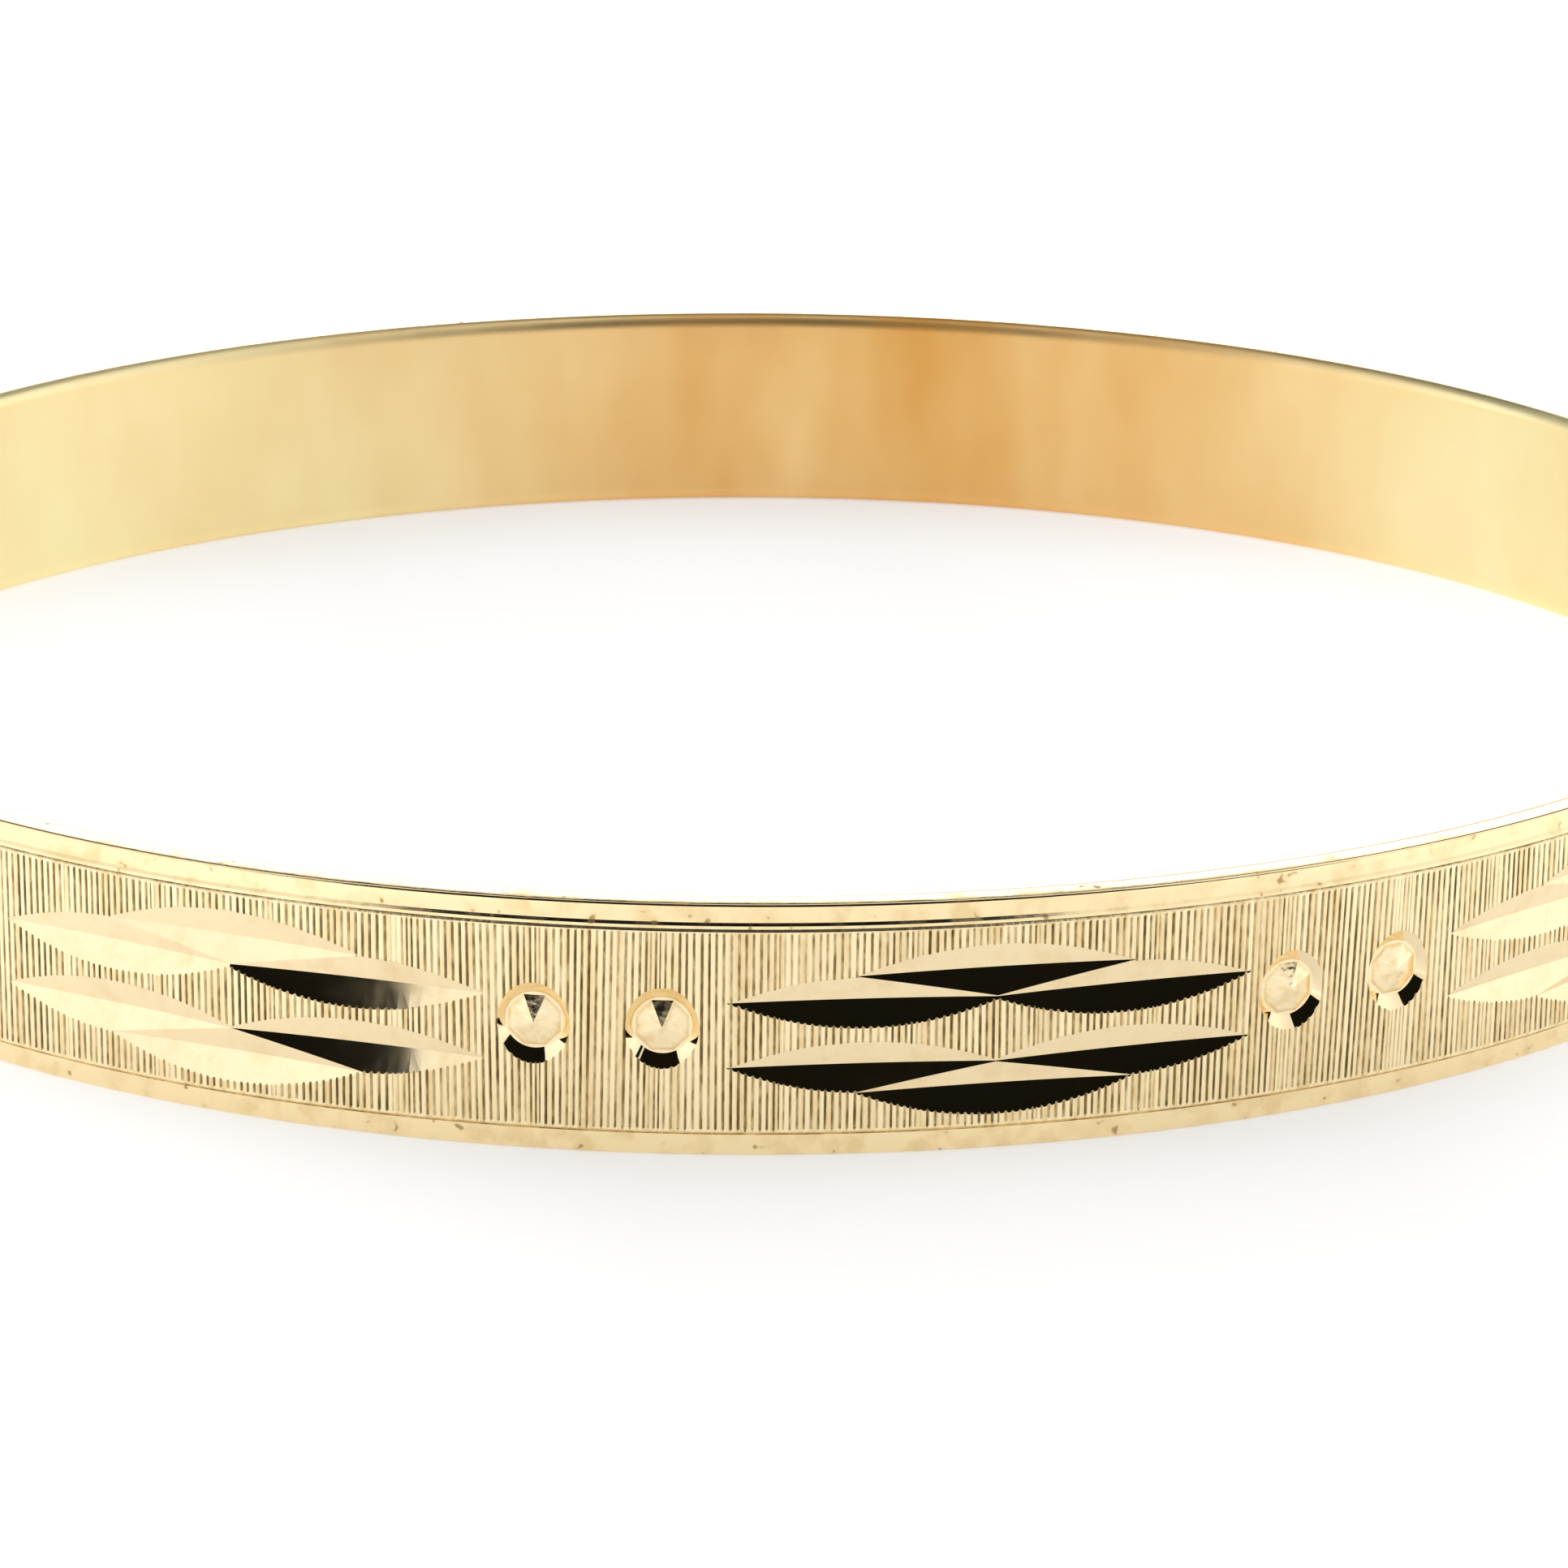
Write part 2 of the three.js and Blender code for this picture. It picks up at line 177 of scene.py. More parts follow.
def flutedPaint(start):
    valley = start.node("ShaderNodeAttribute", {"attribute_name": "groove"}, out=2)
    grain = softBlotch(start, 7000, 2, 0.35).between(0.35, 0.68)
    darkening = softBlotch(start, 1300, 3, 0.2).between(0.36, 0.64)
    streak = softBlotch(start, 5200, 1, 0.02).between(0.42, 0.62)
    # darker towards the bottoms of the flute valleys, more so in random patches
    edge = (valley * (darkening * 0.5 + grain * 0.45 + 0.5)).between(0.12, 0.9)
    deep = (valley * (darkening * 0.75 + grain * 0.5)).between(0.45, 1.0)
    tan = streak * (grain * 0.5 + 0.4)
    light = tan.tint(gold["pale"], gold["deep"])
    return {
        "Base Color": (deep * 0.8).tint(edge.tint(light, gold["valley"]), gold["pit"]),
        "Roughness": edge * 0.2 + 0.18,
        "Normal": raised(start, grain, 0.35, 0.01 * mm),
    }


def brightPaint(start):
    wear = softBlotch(start, 900).between(0.5, 0.8)
    mottle = softBlotch(start, 2600, 3).between(0.5, 0.75)
    return {
        "Base Color": (wear * 0.5 + mottle * 0.25).tint(gold["bright"], gold["deep"]),
        "Roughness": wear * 0.04 + 0.05,
    }


def beadPaint(start):  # dulled and marked, darker round the foot
    wear = softBlotch(start, 3600, 3).between(0.45, 0.72)
    darkening = start.node("ShaderNodeAttribute", {"attribute_name": "hollow"}, out=2).between(0.84, 0.97)
    return {
        "Base Color": (wear * 0.75 + darkening * 0.8).between(0, 1).tint(gold["bright"], gold["deep"]),
        "Roughness": wear * 0.14 + 0.09,
        "Normal": raised(start, softBlotch(start, 1700, 3), 0.5, 0.03 * mm),
    }


def fittingPaint(start):
    rub = softBlotch(start, 420, 3).between(0.45, 0.8)
    lines = softBlotch(start, 6000, 2, 0.05)
    return {
        "Base Color": (rub * 0.6).tint(gold["body"], gold["deep"]),
        "Roughness": rub * 0.1 + 0.17,
        "Normal": raised(start, lines, 0.2, 0.01 * mm),
    }


def springPaint(start):
    wear = softBlotch(start, 400)
    return {
        "Base Color": wear.tint(gold["spring"], gold["deep"]),
        "Roughness": wear * 0.1 + 0.2,
        "Normal": raised(start, softBlotch(start, 1200, 4, 0.1), 0.3, 0.02 * mm),
    }


polishedGold = newFinish("polishedGold", polishedPaint)
insideGold = newFinish("insideGold", insidePaint)
flutedGold = newFinish("flutedGold", flutedPaint)
brightCutGold = newFinish("brightCutGold", brightPaint)
beadGold = newFinish("beadGold", beadPaint)
fittingGold = newFinish("fittingGold", fittingPaint)
springGold = newFinish("springGold", springPaint)
print("finishes ready")


band = {
    "fieldRise": 0.12 * mm,
    "borderHeight": 0.53 * mm,
    "wall": 0.88 * mm,
    "edgeBevel": 0.08 * mm,
    "edgeFlat": 0.45 * mm,
    "comfortHeight": 0.45 * mm,
    "mouthGap": 0.1 * mm,
    "ledge": 0.055 * mm,
    "ledgeHeight": 0.075 * mm,
    "bevelSteps": 9,
    "comfortSteps": 10,
    "insideSteps": 4,
    "sharpAngle": math.radians(12),
    "height": bandHigh.z,
    "motifs": 10,
}
halfLength = -bandLow.x - band["fieldRise"]
halfDepth = -bandLow.y - band["fieldRise"]

ovalSteps = 40000
ovalTurn = np.linspace(-math.pi, math.pi, ovalSteps + 1)  # 0 at the middle of the front
ovalRun = np.hypot(halfLength * np.cos(ovalTurn), halfDepth * np.sin(ovalTurn))
ovalArc = np.concatenate([[0], np.cumsum((ovalRun[1:] + ovalRun[:-1]) / 2) * (2 * math.pi / ovalSteps)])
girth = ovalArc[-1]
ovalArc -= girth / 2
pitch = girth / band["motifs"]


def onOval(arc, out, z):  # arc from the middle of the front towards the hinge
    arc = (np.asarray(arc) + girth / 2) % girth - girth / 2
    turn = np.interp(arc, ovalArc, ovalTurn)
    x = halfLength * np.sin(turn)
    y = -halfDepth * np.cos(turn)
    normal = np.stack([x / halfLength ** 2, y / halfDepth ** 2], -1)
    normal /= np.linalg.norm(normal, axis=-1, keepdims=True)
    out = np.broadcast_to(out, x.shape)
    z = np.broadcast_to(z, x.shape)
    return np.stack([x + normal[..., 0] * out, y + normal[..., 1] * out, z], -1)


def bendAt(arc):  # radius that the oval has there
    turn = np.interp((arc + girth / 2) % girth - girth / 2, ovalArc, ovalTurn)
    run = math.hypot(halfLength * math.cos(turn), halfDepth * math.sin(turn))
    return run ** 3 / (halfLength * halfDepth)


flutes = {
    "seed": 7,
    "pitch": 0.178 * mm,
    "depth": 0.02 * mm,
    "linesPerPass": (13, 18),
    "crowded": (2, 6),
    "lean": 0.012,
    "rows": 12,
    "runOut": 0.07 * mm,
    "fadeIn": 0.4 * mm,      # from each end of a half
    "wobble": (0.82, 1.12),  # depth along one line
    "leanBlend": 7,          # lines on either side
    "across": ((0.0, 0.2), (0.14, 0.0), (0.40, 0.0), (0.54, 0.25), (0.65, 1.0), (0.88, 1.0)),
}


def fluteLines(length, rng):
    edges = [0.0]
    depths = []
    leans = []
    while edges[-1] < length:
        lean = rng.normal(0, flutes["lean"])
        tone = rng.uniform(0.85, 1.1)
        for _ in range(rng.integers(*flutes["linesPerPass"])):
            edges.append(edges[-1] + flutes["pitch"] * rng.normal(1.0, 0.07))
            depths.append(flutes["depth"] * tone * rng.uniform(0.8, 1.1))
            leans.append(lean)
        for _ in range(rng.integers(*flutes["crowded"])):
            edges.append(edges[-1] + flutes["pitch"] * rng.uniform(0.5, 0.85))
            depths.append(flutes["depth"] * rng.uniform(0.45, 1.15))
            leans.append(lean)
    edges = np.array(edges)
    blend = 2 * flutes["leanBlend"] + 1
    leans = np.convolve(np.pad(leans, flutes["leanBlend"], mode="edge"), np.ones(blend) / blend, "valid")
    return edges * (length / edges[-1]), np.array(depths), leans


def bandRows():
    high = band["height"]
    rise = band["fieldRise"]
    border = band["borderHeight"]
    bevel = band["edgeBevel"]
    ledge = band["ledge"]
    bevelSteps, comfortSteps = band["bevelSteps"], band["comfortSteps"]
    arc = [(1 - math.sin(math.pi / 2 * k / bevelSteps), 1 - math.cos(math.pi / 2 * k / bevelSteps))
           for k in range(bevelSteps + 1)]
    rows = [(-bevel * out, bevel * up, "plain") for out, up in arc]  # offset, height, kind
    rows += [(0, border * 0.55, "plain"), (0, border, "plain")]
    fieldLow = border + rise
    fieldHigh = high - border - rise
    rows += [(rise, fieldLow, "field"), (rise, fieldLow + flutes["runOut"], "field")]
    for step in range(1, flutes["rows"]):
        share = 0.5 - 0.5 * math.cos(math.pi * step / flutes["rows"])
        rows.append((rise, fieldLow + (fieldHigh - fieldLow) * share, "field"))
    rows += [(rise, fieldHigh - flutes["runOut"], "field"), (rise, fieldHigh, "field")]
    rows.append((rise - ledge, fieldHigh + ledge, "plain"))  # the double line under the upper border
    rows.append((rise - ledge, fieldHigh + ledge + band["ledgeHeight"], "plain"))
    rows += [(0, fieldHigh + rise + band["ledgeHeight"], "plain"), (0, high - border * 0.4, "plain")]
    rows += [(-bevel * out, high - bevel * up, "plain") for out, up in reversed(arc)]
    reach = band["wall"] - bevel - band["edgeFlat"]
    inner = []
    for step in range(comfortSteps + 1):
        angle = math.pi / 2 * step / comfortSteps
        inner.append((reach * (1 - math.sin(angle)) - band["wall"],
                      band["comfortHeight"] * (1 - math.cos(angle))))
    rows += [(out, high - z, "inside") for out, z in inner]
    for step in range(1, band["insideSteps"]):
        share = step / band["insideSteps"]
        z = high - band["comfortHeight"] - (high - 2 * band["comfortHeight"]) * share
        rows.append((-band["wall"], z, "inside"))
    rows += [(out, z, "inside") for out, z in reversed(inner)]
    return rows


def halfBand(name, arcStart, arcEnd, seed):
    rng = np.random.default_rng(seed)
    length = arcEnd - arcStart
    edges, depths, leans = fluteLines(length, rng)
    count = len(depths)
    across = flutes["across"]
    fineArc, fineDepth, fineLean = [], [], []
    for i in range(count):
        width = edges[i + 1] - edges[i]
        for share, part in across:
            fineArc.append(edges[i] + share * width)
            fineDepth.append(part * depths[i])
            fineLean.append(leans[i])
    fineArc.append(edges[-1])
    fineDepth.append(0)
    fineLean.append(leans[-1])
    fineArc = np.array(fineArc)
    fineDepth = np.array(fineDepth)
    fineLean = np.array(fineLean)
    fade = np.clip(np.minimum(fineArc, length - fineArc) / flutes["fadeIn"], 0, 1)
    fineDepth = fineDepth * fade
    fineLean = fineLean * fade
    rows = bandRows()
    fieldRows = [i for i, row in enumerate(rows) if row[2] == "field"]
    middle = band["height"] / 2
    perFlute = len(across)
    points, starts = [], []
    total = 0
    wobble = rng.uniform(*flutes["wobble"], (len(rows), count + 1))
    for r, (out, z, kind) in enumerate(rows):
        if kind == "field":
            ending = r in (fieldRows[0], fieldRows[-1])
            cut = fineDepth * (0 if ending else np.repeat(wobble[r], perFlute)[:len(fineDepth)])
            arc = arcStart + fineArc + fineLean * (z - middle)
            made = onOval(arc, out - cut, z)
        else:
            made = onOval(arcStart + edges, out, z)
        points.append(made)
        starts.append(total)
        total += len(made)
    faces, kinds = [], []
    rowCount = len(rows)
    for r in range(rowCount):
        n = (r + 1) % rowCount
        here, there = rows[r][2], rows[n][2]
        a, b = starts[r], starts[n]
        if here == "field" and there == "field":
            for i in range(count * perFlute):
                faces.append((a + i, a + i + 1, b + i + 1, b + i))
                kinds.append(1)
        elif here == "field":
            for i in range(count):
                low = [a + i * perFlute + k for k in range(perFlute + 1)]
                faces.append((*low, b + i + 1, b + i))
                kinds.append(1)
        elif there == "field":
            for i in range(count):
                high = [b + i * perFlute + k for k in range(perFlute, -1, -1)]
                faces.append((a + i, a + i + 1, *high))
                kinds.append(1)
        else:
            zone = 2 if here == "inside" and there == "inside" else 0
            for i in range(count):
                faces.append((a + i, a + i + 1, b + i + 1, b + i))
                kinds.append(zone)
    last = {"field": count * perFlute, "plain": count, "inside": count}
    faces.append(tuple(starts[r] for r in range(rowCount)))
    kinds.append(0)
    faces.append(tuple(starts[r] + last[rows[r][2]] for r in reversed(range(rowCount))))
    kinds.append(0)
    mesh = bpy.data.meshes.new(name)
    mesh.from_pydata(np.concatenate(points).tolist(), [], faces)
    mesh.polygons.foreach_set("material_index", kinds)
    for finish in (polishedGold, flutedGold, insideGold, brightCutGold, beadGold):
        mesh.materials.append(finish)
    made = bpy.data.objects.new(name, mesh)
    bpy.context.collection.objects.link(made)
    return made


cuts = {
    "gap": 6.0 * mm,
    "tipRun": 0.2 * mm,
    "middleLength": 6.85 * mm,
    "wallAngle": math.radians(21.4),
    "wheelRadius": 60 * mm,
    "sideRow": 0.82 * mm,
    "middleRow": 1.48 * mm,
    "drop": 0.08 * mm,
    "steps": 26,
    "overrun": 1.1,  # the wheel's length over the cut's
    "rimDepths": 3,  # the wheel's rim over the cut's depth
    "crispAngle": math.radians(4),
}
dots = {
    "offset": 1.52 * mm,
    "lag": 0.2 * mm,
    "rise": 0.08 * mm,
    "ringAlong": 0.89 * mm,
    "ringAcross": 1.03 * mm,
    "ringFloor": 0.71 * mm,
    "depth": 0.22 * mm,
    "ringSteps": 120,
    "bead": 0.68 * mm,
    "crown": 0.03 * mm,
    "root": 0.02 * mm,
    "beadFacets": 8,
}


def laidOn(points, arc, z):  # points are across, out, along
    here = onOval(arc, band["fieldRise"], z)
    ahead = onOval(arc + 0.01 * mm, band["fieldRise"], z)
    along = (ahead - here) / np.linalg.norm(ahead - here)
    outward = np.array([along[1], -along[0], 0])
    up = np.array([0, 0, 1])
    points = np.asarray(points)
    return here + points[:, :1] * up + points[:, 1:2] * outward + points[:, 2:] * along


def wheelCut(length, arc, z):
    depth = (length / 2) ** 2 / 2 * (1 / bendAt(arc) + 1 / cuts["wheelRadius"])
    rim = cuts["rimDepths"] * depth
    half = rim / math.tan(cuts["wallAngle"])
    points, faces = [], []
    steps = cuts["steps"]
    for step in range(steps + 1):
        along = (step / steps - 0.5) * cuts["overrun"] * length
        low = along ** 2 / (2 * cuts["wheelRadius"]) - depth
        points += [(0, low, along), (half, low + rim, along), (-half, low + rim, along)]
    for step in range(steps):
        a, b = 3 * step, 3 * step + 3
        for k in range(3):
            n = (k + 1) % 3
            faces.append((a + k, a + n, b + n, b + k))
    faces.append((2, 1, 0))
    faces.append((3 * steps, 3 * steps + 1, 3 * steps + 2))
    return laidOn(points, arc, z), faces


def ring(radiusAcross, radiusAlong, out, around, turn=0.0):
    return [(radiusAcross * math.cos(turn + 2 * math.pi * k / around), out,
             radiusAlong * math.sin(turn + 2 * math.pi * k / around)) for k in range(around)]


def ringPlug(arc, z):  # what the cupped cutter clears, before its bead is left standing
    clear = dots["depth"]
    flare = (dots["depth"] + clear) / dots["depth"]
    across = dots["ringFloor"] + (dots["ringAcross"] - dots["ringFloor"]) * flare
    along = dots["ringFloor"] + (dots["ringAlong"] - dots["ringFloor"]) * flare
    around = dots["ringSteps"]
    low = ring(dots["ringFloor"], dots["ringFloor"], -dots["depth"], around)
    high = ring(across, along, clear, around)
    faces = [(k, (k + 1) % around, around + (k + 1) % around, around + k) for k in range(around)]
    faces += [tuple(reversed(range(around))), tuple(range(around, 2 * around))]
    return laidOn(low + high, arc, z), faces


def beadCone(arc, z):
    around = dots["beadFacets"]
    high = dots["depth"] - dots["crown"]
    radius = dots["bead"] * (high + dots["root"]) / high
    points = ring(radius, radius, -dots["depth"] - dots["root"], around, math.pi / around)
    points.append((0, -dots["crown"], 0))
    faces = [(k, (k + 1) % around, around) for k in range(around)] + [tuple(reversed(range(around)))]
    return laidOn(points, arc, z), faces


def joined(name, shapes, finish):
    points, faces = [], []
    for shape, shapeFaces in shapes:
        base = len(points)
        points += [tuple(p) for p in np.asarray(shape)]
        faces += [tuple(base + i for i in face) for face in shapeFaces]
    mesh = bpy.data.meshes.new(name)
    mesh.from_pydata(points, [], faces)
    mesh.materials.append(finish)
    facingOut(mesh)
    made = bpy.data.objects.new(name, mesh)
    bpy.context.collection.objects.link(made)
    return made


def facingOut(mesh):
    made = bmesh.new()
    made.from_mesh(mesh)
    if made.calc_volume(signed=True) < 0:
        bmesh.ops.reverse_faces(made, faces=made.faces)
    made.to_mesh(mesh)
    made.free()


def engravingTools():
    mid = band["height"] / 2
    left, right, centre, plugs, beads = [], [], [], [], []
    longCut = (pitch - cuts["gap"]) / 2
    for i in range(band["motifs"]):
        arc = i * pitch
        for row in (-1, 1):
            z = mid - cuts["drop"] + row * cuts["sideRow"]
            left.append(wheelCut(longCut + 2 * cuts["tipRun"], arc - longCut / 2, z))
            right.append(wheelCut(longCut + 2 * cuts["tipRun"], arc + longCut / 2, z))
            z = mid - cuts["drop"] + row * cuts["middleRow"]
            centre.append(wheelCut(cuts["middleLength"], arc, z))
        gap = (i + 0.5) * pitch
        if abs(gap - girth / 4) < pitch / 4 or abs(gap - 3 * girth / 4) < pitch / 4:
            continue
        for side in (-1, 1):
            arc = gap - dots["lag"] + side * dots["offset"]
            plugs.append(ringPlug(arc, mid + dots["rise"]))
            beads.append(beadCone(arc, mid + dots["rise"]))
    rings = joined("ringCuts", plugs, brightCutGold)
    cones = joined("beads", beads, beadGold)
    rings.data.materials.append(beadGold)
    carve(rings, [cones])
    bpy.data.objects.remove(cones)
    groups = {"leftCuts": left, "rightCuts": right, "centreCuts": centre}
    return [joined(name, shapes, brightCutGold) for name, shapes in groups.items()] + [rings]


def boxShape(low, high):
    points = [(x, y, z) for x in (low[0], high[0]) for y in (low[1], high[1]) for z in (low[2], high[2])]
    faces = [(0, 1, 3, 2), (4, 6, 7, 5), (0, 4, 5, 1), (2, 3, 7, 6), (0, 2, 6, 4), (1, 5, 7, 3)]
    return points, faces


def rodShape(x, radius, low, high, around):
    turns = [2 * math.pi * k / around for k in range(around)]
    rim = [(x + radius * math.cos(turn), radius * math.sin(turn)) for turn in turns]
    points = [(px, py, z) for z in (low, high) for px, py in rim]
    faces = [(k, (k + 1) % around, around + (k + 1) % around, around + k) for k in range(around)]
    faces.append(tuple(reversed(range(around))))
    faces.append(tuple(range(around, 2 * around)))
    return points, faces


openings = {
    "hingeRoom": 0.08 * mm,  # round the barrels
    "flare": 0.85,           # half the opening's width on the outside, over the barrel's room
    "thumbSide": 0.12 * mm,
    "thumbEnd": 0.42 * mm,
    "over": mm,
    "reach": 9 * mm,
    "around": 96,
}


def endTools():
    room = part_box("middle_knuckle")[1].x - hingeX + openings["hingeRoom"]
    over, reach, flare = openings["over"], openings["reach"], openings["flare"] * room
    tall = (-over, band["height"] + over)
    hinge = rodShape(hingeX, room, *tall, openings["around"])
    outside = boxShape((hingeX, -flare, tall[0]), (hingeX + reach, flare, tall[1]))
    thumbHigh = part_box("thumb_piece")[1]
    leafLow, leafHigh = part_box("spring_leaf")
    side = openings["thumbSide"]
    notch = boxShape((-halfLength - reach, -over, leafLow.z - side),
                     (-halfLength + 2 * over, thumbHigh.y + openings["thumbEnd"], leafHigh.z + side))
    made = [joined("hingeRoom", [hinge], polishedGold), joined("hingeFlare", [outside], polishedGold)]
    return made, [joined("thumbNotch", [notch], polishedGold)]


def carve(target, tools):
    for tool in tools:
        step = target.modifiers.new(tool.name, "BOOLEAN")
        step.operation = "DIFFERENCE"
        step.solver = "MANIFOLD"
        step.object = tool
    shaped = bpy.data.meshes.new_from_object(target.evaluated_get(bpy.context.evaluated_depsgraph_get()))
    target.modifiers.clear()
    target.data = shaped


def markGrooves(mesh):
    count = len(mesh.vertices)
    places = np.empty(count * 3)
    mesh.vertices.foreach_get("co", places)
    places = places.reshape(-1, 3)
    flat = places[:, :2]
    turn = np.arctan2(flat[:, 0] / halfLength, -flat[:, 1] / halfDepth)
    for _ in range(3):  # the foot of the normal, by a few steps round the oval
        base = np.stack([halfLength * np.sin(turn), -halfDepth * np.cos(turn)], -1)
        along = np.stack([halfLength * np.cos(turn), halfDepth * np.sin(turn)], -1)
        turn = turn + ((flat - base) * along).sum(-1) / (along ** 2).sum(-1)
    base = np.stack([halfLength * np.sin(turn), -halfDepth * np.cos(turn)], -1)
    normal = np.stack([base[:, 0] / halfLength ** 2, base[:, 1] / halfDepth ** 2], -1)
    normal /= np.linalg.norm(normal, axis=-1, keepdims=True)
    out = ((flat - base) * normal).sum(-1)
    groove = np.clip((band["fieldRise"] - out) / flutes["depth"], 0, 1)
    hollow = np.clip((band["fieldRise"] - out) / dots["depth"], 0, 1)
    for name, values in (("groove", groove), ("hollow", hollow)):
        layer = mesh.attributes.new(name, "FLOAT", "POINT")
        layer.data.foreach_set("value", values.astype(np.float32))


def crispCuts(mesh):  # cuts that cross keep a clean line between them
    bright = {mesh.materials.find(finish.name) for finish in (brightCutGold, beadGold)}
    made = bmesh.new()
    made.from_mesh(mesh)
    for edge in made.edges:
        if len(edge.link_faces) == 2 and all(face.material_index in bright for face in edge.link_faces):
            if edge.calc_face_angle() > cuts["crispAngle"]:
                edge.smooth = False
    made.to_mesh(mesh)
    made.free()


engravers = engravingTools()
hingeTools, thumbTools = endTools()
halfReach = girth / 4 - band["mouthGap"] / 2
halves = {
    "front_band": ("front_half", 0, hingeTools),
    "rear_band": ("rear_half", girth / 2, hingeTools + thumbTools),
}
for index, (node, (body, middle, ends)) in enumerate(halves.items()):
    made = halfBand("fluted_" + node, middle - halfReach, middle + halfReach, flutes["seed"] + index)
    facingOut(made.data)
    carve(made, engravers + ends)
    markGrooves(made.data)
    made.data.shade_smooth()
    made.data.set_sharp_from_angle(angle=band["sharpAngle"])
    crispCuts(made.data)
    even = made.modifiers.new("evenShine", "WEIGHTED_NORMAL")
    even.keep_sharp = True
    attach(made, body)
    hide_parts(node)
    print(made.name, len(made.data.polygons), "faces")
for tool in engravers + hingeTools + thumbTools:
    bpy.data.objects.remove(tool)


fittings = {
    "edge": 0.05 * mm,
    "edgeSteps": 3,
    "edgeAngle": math.radians(35),
    "smoothAngle": math.radians(20),
    "finishes": {
        "front_hinge_block": fittingGold, "rear_hinge_block": fittingGold, "clasp_box": fittingGold,
        "tongue_block": fittingGold, "tongue_leaf": springGold, "spring_leaf": springGold,
    },
    "barrels": {"middle_knuckle": "front_half", "lower_knuckle": "rear_half", "upper_knuckle": "rear_half"},
}
pin = {
    "radius": 0.5 * mm,
    "headRadius": 0.8 * mm,
    "headHeight": 0.22 * mm,
    "setback": 0.36 * mm,  # under side of a head, in from the edge of the band
    "around": 72,
    "domeSteps": 9,
}
grip = {
    "grooves": 5,
    "depth": 0.07 * mm,
    "half": 0.05 * mm,
    "margin": 0.16 * mm,
}


def softEdges(piece):
    soften = piece.modifiers.new("edges", "BEVEL")
    soften.width = fittings["edge"]
    soften.segments = fittings["edgeSteps"]
    soften.limit_method = "ANGLE"
    soften.angle_limit = fittings["edgeAngle"]


def finishPiece(made, node, body):
    made.data.shade_smooth()
    made.data.set_sharp_from_angle(angle=fittings["smoothAngle"])
    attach(made, body)
    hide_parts(node)


def refined(name, node, body, tools=()):  # a copy of a fitting whose round parts shade round
    made = bpy.data.objects.new(name, frame["nodes"][node].data.copy())
    bpy.context.collection.objects.link(made)
    made.data.materials.clear()
    made.data.materials.append(fittingGold)
    if tools:
        carve(made, tools)
    finishPiece(made, node, body)
    softEdges(made)


def pinProfile():
    low, high = pin["setback"], band["height"] - pin["setback"]
    dome = []
    for step in range(pin["domeSteps"] + 1):
        angle = math.pi / 2 * step / pin["domeSteps"]
        dome.append((pin["headRadius"] * math.sin(angle), pin["headHeight"] * math.cos(angle)))
    profile = [(radius, low - height) for radius, height in dome]
    profile += [(pin["radius"], low), (pin["radius"], high)]
    return profile + [(radius, high + height) for radius, height in reversed(dome)]


def turnedPiece(name, profile, x, around):
    points = [(x, 0, profile[0][1])]
    for radius, z in profile[1:-1]:
        for k in range(around):
            angle = 2 * math.pi * k / around
            points.append((x + radius * math.cos(angle), radius * math.sin(angle), z))
    points.append((x, 0, profile[-1][1]))
    faces = []
    for k in range(around):
        n = (k + 1) % around
        faces.append((0, 1 + n, 1 + k))
        for row in range(len(profile) - 3):
            a, b = 1 + row * around, 1 + (row + 1) * around
            faces.append((a + k, a + n, b + n, b + k))
        last = 1 + (len(profile) - 3) * around
        faces.append((len(points) - 1, last + k, last + n))
    return joined(name, [(points, faces)], fittingGold)


def gripTools():  # fine grooves down the face of the thumb piece
    thumbLow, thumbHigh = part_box("thumb_piece")
    first, last = thumbLow.y + grip["margin"], thumbHigh.y - grip["margin"]
    shapes = []
    for k in range(grip["grooves"]):
        y = first + (last - first) * k / (grip["grooves"] - 1)
        x = thumbLow.x
        outline = [(x + grip["depth"], y), (x - grip["depth"], y - 2 * grip["half"]),
                   (x - grip["depth"], y + 2 * grip["half"])]
        points = [(px, py, z) for z in (thumbLow.z - mm, thumbHigh.z + mm) for px, py in outline]
        shapes.append((points, [(0, 1, 2), (5, 4, 3), (0, 3, 4, 1), (1, 4, 5, 2), (2, 5, 3, 0)]))
    return [joined("gripCuts", shapes, fittingGold)]


for name, finish in fittings["finishes"].items():
    node = frame["nodes"][name]
    node.data.materials.clear()
    node.data.materials.append(finish)
    softEdges(node)
for name, body in fittings["barrels"].items():
    refined("round_" + name, name, body)
rivet = turnedPiece("domed_hinge_pin", pinProfile(), hingeX, pin["around"])
finishPiece(rivet, "hinge_pin", "rear_half")
grooves = gripTools()
refined("grooved_thumb_piece", "thumb_piece", "thumb_spring", grooves)
for tool in grooves:
    bpy.data.objects.remove(tool)
print("fittings dressed")


studio = {
    "tentLight": 1.0,
    "backLight": 1.3,         # added behind the bangle
    "backTurn": (0.55, 0.9),  # sines of the directions over which it comes in
    "backRise": (0.36, 0.43),  # and goes out again
    "sideLight": 0.24,        # added at the sides
    "sideTurn": (0.35, 0.75),
    "tableHalf": 1.2,
    "tableGap": 0.02 * mm,
    "tableTone": 0.66,
    "tableGlow": 0.36,
    "tableSideGlow": 0.62,    # painted pool of light, as if from the side lamps: the table glows brighter to the left and right
    "poolStart": 9 * mm,
    "poolFull": 30 * mm,
    "cardTone": (0.004, 0.004, 0.003, 1),
    "cardSteps": 16,
    "cardDistance": 0.45,
    "cards": {                # degrees: turn from -Y towards +X, then rise
        "lensCard": (-47, 46, 9.5, 30),
        "hoodCard": (-60, 36, 29, 79),
        "rearCard": (158, 202, 26, 76),
        "leftRearCard": (-150, -116, 14, 72),
        "rightRearCard": (116, 150, 14, 72),
    },
}


